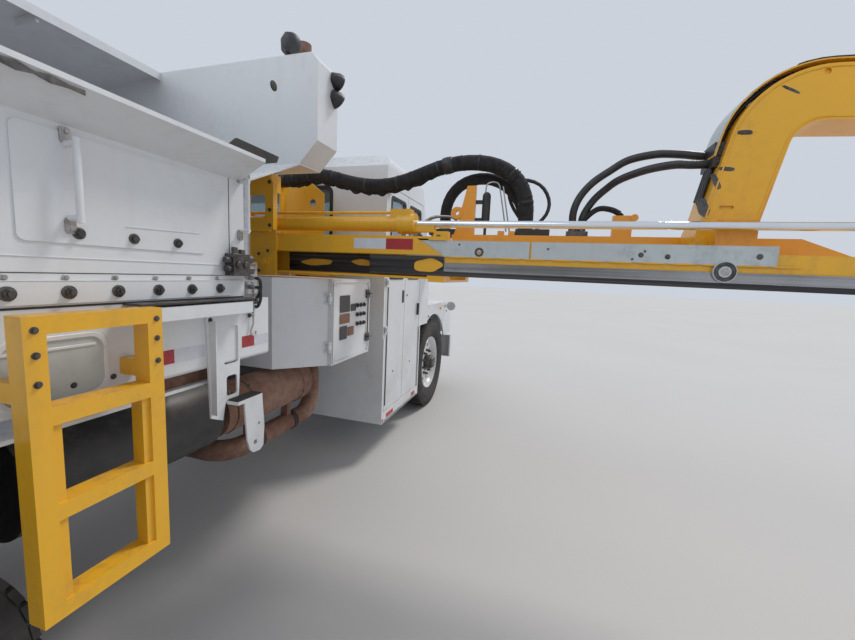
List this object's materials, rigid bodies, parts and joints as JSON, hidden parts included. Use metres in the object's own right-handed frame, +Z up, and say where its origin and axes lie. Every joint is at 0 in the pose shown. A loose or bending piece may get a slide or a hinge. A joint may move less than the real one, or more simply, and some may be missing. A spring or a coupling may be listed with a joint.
{
  "type": "side-loading refuse truck",
  "caption": "Side-loading refuse truck, its right-hand telescoping arm run out with a two-finger gripper; open hopper, body with tailgate, low-entry cab, cabinets and ladder.",
  "frame": {"origin": "on the ground below the middle of the box round the whole truck with its arm run out", "axes": "+X forward, +Y to the truck's left (the arm reaches to -Y), +Z up"},
  "size_m": [9.17, 6.6632, 3.6429],
  "materials": {
    "white_paint": "gloss, dusty",
    "yellow_paint": "semi-gloss, scuffed",
    "orange_paint": "semi-gloss, scuffed",
    "black_paint": "satin, dusty",
    "engine_grey": "matt",
    "rusty_steel": "rusty, matt",
    "aluminium": "brushed",
    "rod_steel": "polished",
    "glass": "tinted",
    "dark_plastic": "matt",
    "rubber": "matt",
    "tyre": "matt, dusty"
  },
  "bodies": {
    "truck": {"chassis_frame": "black_paint", "cross_members": "black_paint", "front_bumper": "white_paint", "engine_block": "engine_grey", "front_axle": "black_paint", "rear_axles": "black_paint", "cab_shell": "white_paint", "entry_box": "white_paint", "cab_glass": "glass", "cab_interior": "dark_plastic", "hopper_side": "white_paint", "hopper_left_wall": "white_paint", "hopper_front": "white_paint", "refuse_body": "white_paint", "side_skirt": "white_paint", "access_ladder": "yellow_paint", "step_column": "white_paint", "control_cabinet": "white_paint", "arm_frame_rear": "yellow_paint", "arm_frame_front": "yellow_paint", "rubber_flap": "rubber", "air_canister": "black_paint", "exhaust_drums": "rusty_steel", "exhaust_stack": "rusty_steel", "fuel_tank": "aluminium", "mirrors": "black_paint", "rear_bumper": "white_paint", "tow_eyes": "black_paint", "valve_block": "aluminium"},
    "boom_stage_1": {"boom_rear_rail": "yellow_paint", "boom_front_rail": "yellow_paint", "slide_cylinder": "yellow_paint", "hose_bundle": "rubber"},
    "boom_stage_2": {"stage_rails": "yellow_paint", "cover_plates": "white_paint", "carriage_beam": "orange_paint", "slide_rod": "rod_steel", "carriage_fittings": "black_paint", "hose_arch": "rubber", "hose_loop": "rubber"},
    "lift_arm": {"lift_arm": "yellow_paint"},
    "lift_rod": {"lift_rod": "rod_steel"},
    "finger_front": {"finger_front": "black_paint"},
    "finger_rear": {"finger_rear": "black_paint"},
    "packer": {"packer": "rusty_steel"},
    "tailgate": {"tailgate": "white_paint"},
    "hood": {"hood": "white_paint", "fender_mirror": "aluminium"},
    "left_door": {"left_door": "white_paint"},
    "entry_leaf_rear": {"entry_leaf_rear": "white_paint"},
    "entry_leaf_front": {"entry_leaf_front": "white_paint"},
    "cabinet_door": {"cabinet_door": "white_paint"},
    "knuckle_left": {"knuckle_left": "black_paint"},
    "knuckle_right": {"knuckle_right": "black_paint"},
    "front_wheel_left": {"front_wheel_left": "tyre"},
    "front_wheel_right": {"front_wheel_right": "tyre"},
    "mid_wheels_left": {"mid_wheels_left": "tyre"},
    "mid_wheels_right": {"mid_wheels_right": "tyre"},
    "rear_wheels_left": {"rear_wheels_left": "tyre"},
    "rear_wheels_right": {"rear_wheels_right": "tyre"}
  },
  "joints": [
    {"name": "boom_stage_1_slide", "type": "slide", "parent": "truck", "child": "boom_stage_1", "axis": [0, 1, 0], "range_m": [0, 0.95]},
    {"name": "boom_stage_2_slide", "type": "slide", "parent": "boom_stage_1", "child": "boom_stage_2", "axis": [0, 1, 0], "range_m": [0, 1.2]},
    {"name": "lift_pivot", "type": "hinge", "parent": "boom_stage_2", "child": "lift_arm", "pos_m": [1.42, -1.38837, 1.85], "axis": [-1, 0, 0], "range_deg": [0, 110]},
    {"name": "lift_rod_slide", "type": "slide", "parent": "boom_stage_2", "child": "lift_rod", "axis": [0, -1, 0], "range_m": [0, 0.3117]},
    {"name": "finger_front_pivot", "type": "hinge", "parent": "lift_arm", "child": "finger_front", "pos_m": [0.945, -2.67337, 1.13], "axis": [0, 0, -1], "range_deg": [0, 38]},
    {"name": "finger_rear_pivot", "type": "hinge", "parent": "lift_arm", "child": "finger_rear", "pos_m": [0.185, -2.67337, 1.13], "axis": [0, 0, 1], "range_deg": [0, 38]},
    {"name": "packer_slide", "type": "slide", "parent": "truck", "child": "packer", "axis": [-1, 0, 0], "range_m": [0, 1.1]},
    {"name": "tailgate_hinge", "type": "hinge", "parent": "truck", "child": "tailgate", "pos_m": [-4.065, 1.89163, 3.605], "axis": [0, 1, 0], "range_deg": [0, 80]},
    {"name": "hood_hinge", "type": "hinge", "parent": "truck", "child": "hood", "pos_m": [4.465, 1.89163, 0.76], "axis": [0, 1, 0], "range_deg": [0, 60]},
    {"name": "left_door_hinge", "type": "hinge", "parent": "truck", "child": "left_door", "pos_m": [3.145, 3.11563, 1.5], "axis": [0, 0, -1], "range_deg": [0, 70]},
    {"name": "entry_leaf_rear_hinge", "type": "hinge", "parent": "truck", "child": "entry_leaf_rear", "pos_m": [2.045, 0.66763, 1.5], "axis": [0, 0, -1], "range_deg": [0, 80]},
    {"name": "entry_leaf_fold", "type": "hinge", "parent": "entry_leaf_rear", "child": "entry_leaf_front", "pos_m": [2.495, 0.72363, 1.5], "axis": [0, 0, 1], "range_deg": [0, 160]},
    {"name": "cabinet_door_hinge", "type": "hinge", "parent": "truck", "child": "cabinet_door", "pos_m": [1.168, 0.67963, 1.27], "axis": [0, 0, -1], "range_deg": [0, 110]},
    {"name": "steering_left", "type": "hinge", "parent": "truck", "child": "knuckle_left", "pos_m": [3.565, 2.89163, 0.5275], "axis": [0, 0, 1], "range_deg": [-32, 32]},
    {"name": "steering_right", "type": "hinge", "parent": "truck", "child": "knuckle_right", "pos_m": [3.565, 0.89163, 0.5275], "axis": [0, 0, 1], "range_deg": [-32, 32]},
    {"name": "front_wheel_left_spin", "type": "hinge", "parent": "knuckle_left", "child": "front_wheel_left", "pos_m": [3.565, 2.95163, 0.5275], "axis": [0, 1, 0], "continuous": true},
    {"name": "front_wheel_right_spin", "type": "hinge", "parent": "knuckle_right", "child": "front_wheel_right", "pos_m": [3.565, 0.83163, 0.5275], "axis": [0, 1, 0], "continuous": true},
    {"name": "mid_wheels_left_spin", "type": "hinge", "parent": "truck", "child": "mid_wheels_left", "pos_m": [-0.825, 2.81163, 0.5275], "axis": [0, 1, 0], "continuous": true},
    {"name": "mid_wheels_right_spin", "type": "hinge", "parent": "truck", "child": "mid_wheels_right", "pos_m": [-0.825, 0.97163, 0.5275], "axis": [0, 1, 0], "continuous": true},
    {"name": "rear_wheels_left_spin", "type": "hinge", "parent": "truck", "child": "rear_wheels_left", "pos_m": [-2.145, 2.81163, 0.5275], "axis": [0, 1, 0], "continuous": true},
    {"name": "rear_wheels_right_spin", "type": "hinge", "parent": "truck", "child": "rear_wheels_right", "pos_m": [-2.145, 0.97163, 0.5275], "axis": [0, 1, 0], "continuous": true}
  ],
  "couplings": [
    {"joint": "lift_rod_slide", "follows": "lift_pivot", "m_per_rad": 0.1621},
    {"joint": "finger_rear_pivot", "follows": "finger_front_pivot", "ratio": 1},
    {"joint": "entry_leaf_fold", "follows": "entry_leaf_rear_hinge", "ratio": 2},
    {"joint": "steering_right", "follows": "steering_left", "ratio": 1}
  ]
}
